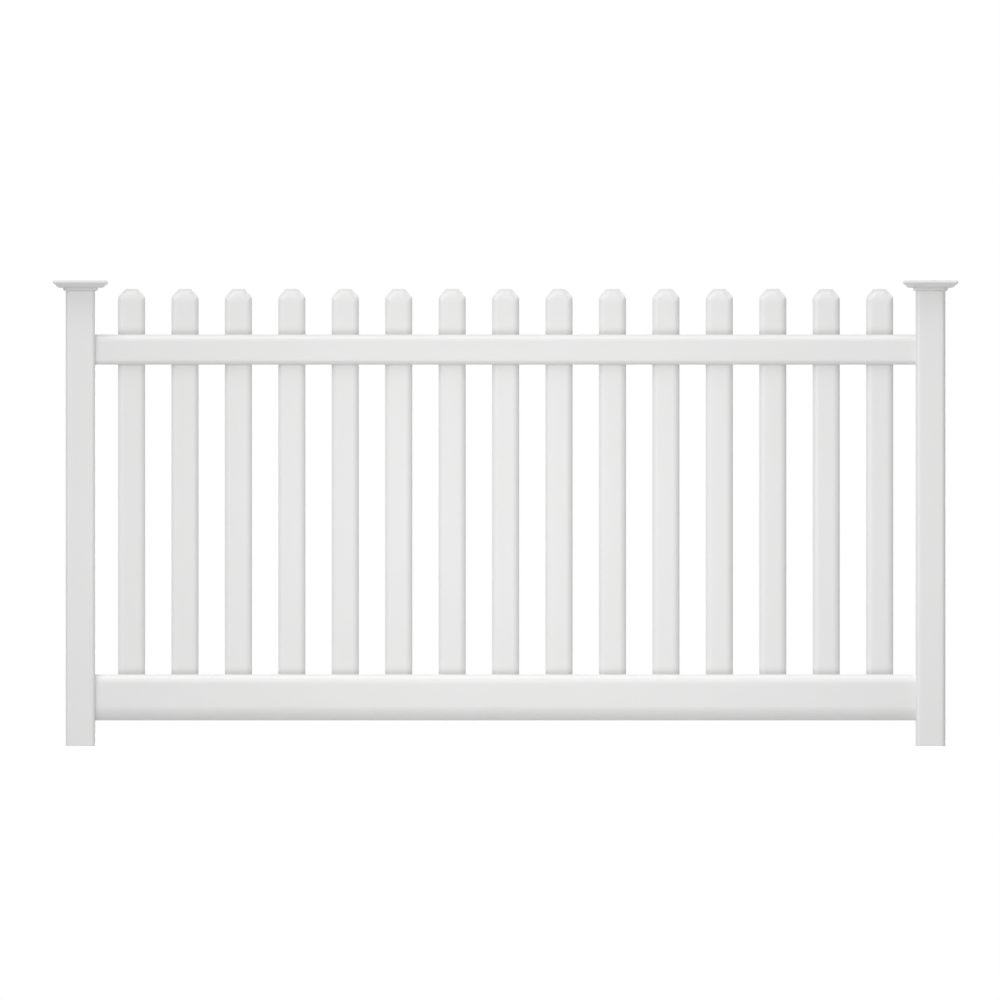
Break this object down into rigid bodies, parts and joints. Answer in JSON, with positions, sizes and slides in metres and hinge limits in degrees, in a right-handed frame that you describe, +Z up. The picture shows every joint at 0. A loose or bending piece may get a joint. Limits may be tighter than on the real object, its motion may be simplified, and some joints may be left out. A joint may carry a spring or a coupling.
{
  "type": "picket fence panel",
  "caption": "White vinyl picket fence panel with dog-ear pickets, two rails and two square posts with flat moulded caps",
  "frame": {"origin": "the middle of the left post's flat foot, at ground level", "axes": "+X along the panel to the right post, +Y away from the viewer through the panel, +Z up"},
  "size_m": [2.5958, 0.1574, 1.3367],
  "materials": {
    "extruded_vinyl": "semi-gloss white extruded vinyl",
    "moulded_vinyl": "semi-gloss white moulded vinyl"
  },
  "bodies": {
    "root": {"post_left": "extruded_vinyl", "post_right": "extruded_vinyl", "post_cap_left": "moulded_vinyl", "post_cap_right": "moulded_vinyl", "top_rail": "extruded_vinyl", "bottom_rail": "extruded_vinyl", "picket_01": "extruded_vinyl", "picket_02": "extruded_vinyl", "picket_03": "extruded_vinyl", "picket_04": "extruded_vinyl", "picket_05": "extruded_vinyl", "picket_06": "extruded_vinyl", "picket_07": "extruded_vinyl", "picket_08": "extruded_vinyl", "picket_09": "extruded_vinyl", "picket_10": "extruded_vinyl", "picket_11": "extruded_vinyl", "picket_12": "extruded_vinyl", "picket_13": "extruded_vinyl", "picket_14": "extruded_vinyl", "picket_15": "extruded_vinyl", "picket_cap_01": "moulded_vinyl", "picket_cap_02": "moulded_vinyl", "picket_cap_03": "moulded_vinyl", "picket_cap_04": "moulded_vinyl", "picket_cap_05": "moulded_vinyl", "picket_cap_06": "moulded_vinyl", "picket_cap_07": "moulded_vinyl", "picket_cap_08": "moulded_vinyl", "picket_cap_09": "moulded_vinyl", "picket_cap_10": "moulded_vinyl", "picket_cap_11": "moulded_vinyl", "picket_cap_12": "moulded_vinyl", "picket_cap_13": "moulded_vinyl", "picket_cap_14": "moulded_vinyl", "picket_cap_15": "moulded_vinyl"}
  },
  "joints": []
}
